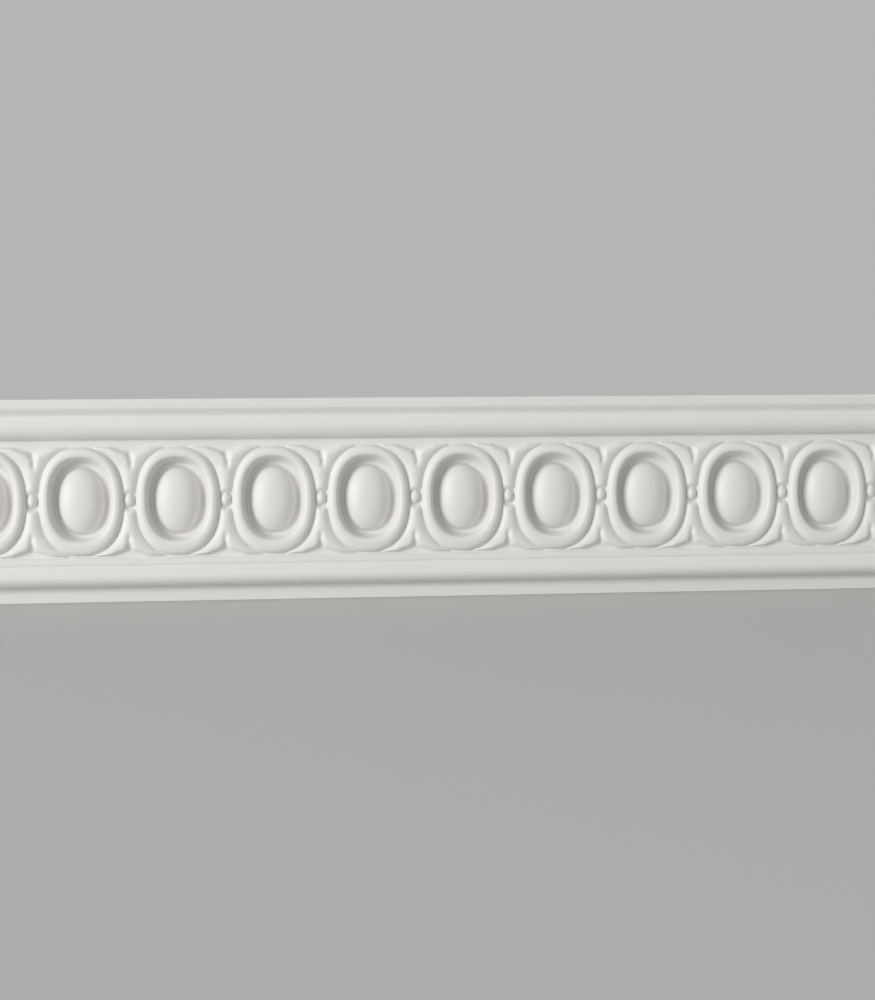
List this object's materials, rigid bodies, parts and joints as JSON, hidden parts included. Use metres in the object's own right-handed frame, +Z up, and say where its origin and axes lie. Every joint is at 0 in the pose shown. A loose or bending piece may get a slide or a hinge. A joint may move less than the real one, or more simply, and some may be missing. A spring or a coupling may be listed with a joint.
{
  "type": "dado rail",
  "caption": "Length of cast plaster dado rail: plain mouldings above and below a sunk band of upright ovals, with a bead and leaf husks between them.",
  "frame": {"origin": "middle of the flat back, on the wall's face", "axes": "+X along the rail, +Y from the ornament into the wall, +Z up"},
  "size_m": [0.363, 0.021, 0.07],
  "materials": {
    "white_plaster": "satin"
  },
  "bodies": {
    "root": {"dado_rail": "white_plaster"}
  },
  "joints": []
}
